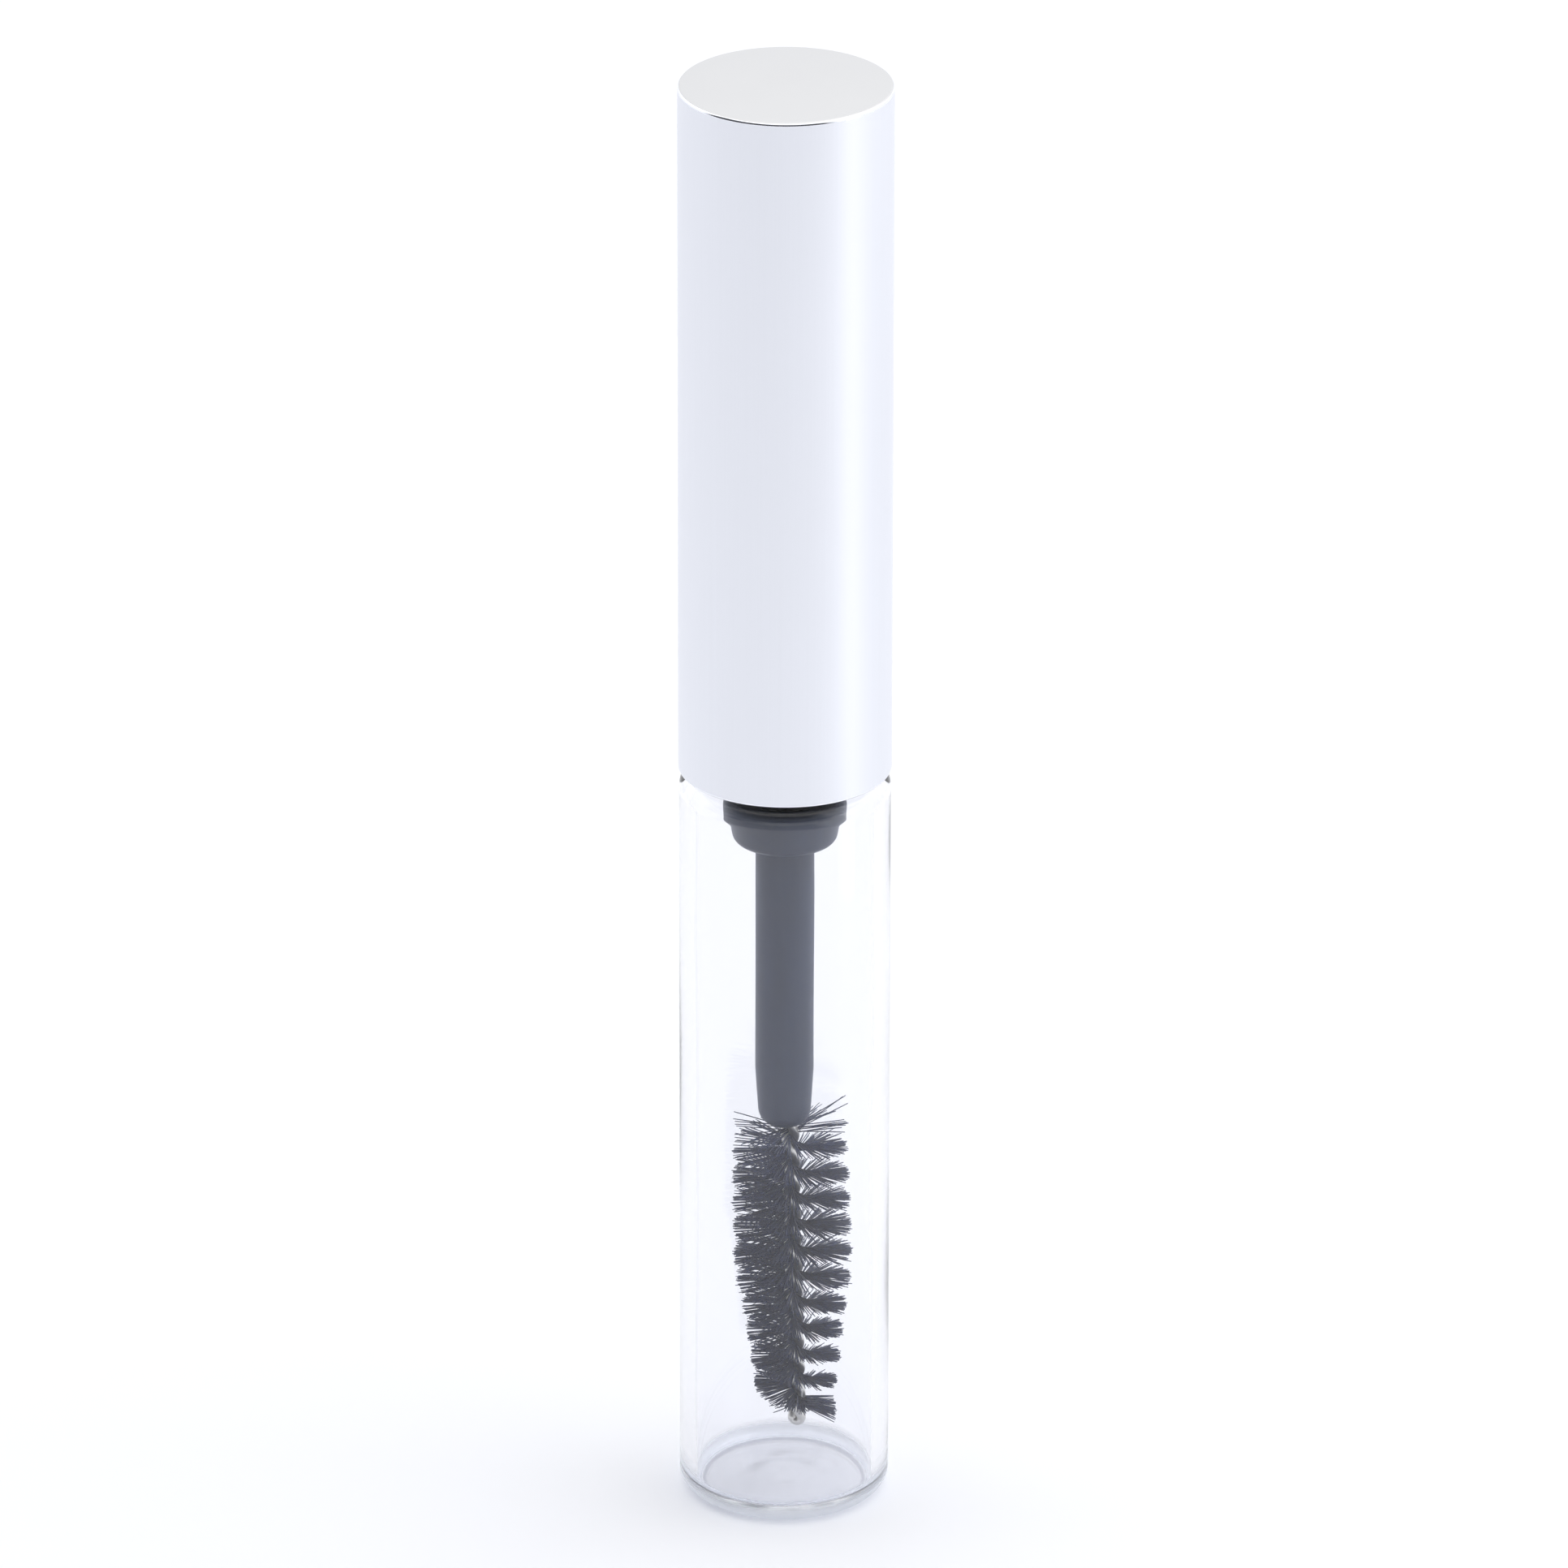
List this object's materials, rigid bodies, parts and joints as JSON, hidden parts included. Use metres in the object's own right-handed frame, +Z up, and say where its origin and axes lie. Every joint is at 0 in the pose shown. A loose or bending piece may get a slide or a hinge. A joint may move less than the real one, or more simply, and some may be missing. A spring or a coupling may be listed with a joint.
{
  "type": "mascara tube",
  "caption": "Slim clear glass cosmetic tube with a screw cap that carries a stem and a twisted-wire lash brush, and a wiper in its neck.",
  "frame": {"origin": "centre of the bottle's underside, on the tube's axis", "axes": "+Z up the tube's axis to the cap's top; +X to the right and -Y towards the viewer; the brush leans towards +X"},
  "size_m": [0.016, 0.016, 0.1144],
  "materials": {
    "clear_glass": "clear, fire-polished",
    "wiper_plastic": "soft black, semi-matte",
    "washer_foam": "white, matte",
    "stem_plastic": "black, moulded, satin",
    "liner_plastic": "white, moulded",
    "satin_aluminium": "silver anodised, satin, fine lengthwise grain",
    "steel_wire": "bright drawn wire",
    "nylon_fibre": "black fibre with a slight sheen"
  },
  "bodies": {
    "bottle": {"glass_bottle": "clear_glass", "wiper": "wiper_plastic"},
    "washer": {"sealing_washer": "washer_foam"},
    "wand": {"outer_shell": "satin_aluminium", "inner_cap": "liner_plastic", "stem": "stem_plastic", "brush_wire": "steel_wire", "bristles": "nylon_fibre"}
  },
  "joints": [
    {"name": "wand_lift", "type": "slide", "parent": "bottle", "child": "washer", "axis": [0, 0, 1], "range_m": [0, 0.08], "deforming": ["bristles"]},
    {"name": "cap_turn", "type": "hinge", "parent": "washer", "child": "wand", "pos_m": [0, 0, 0.0727], "axis": [0, 0, 1], "range_deg": [0, 540]}
  ]
}
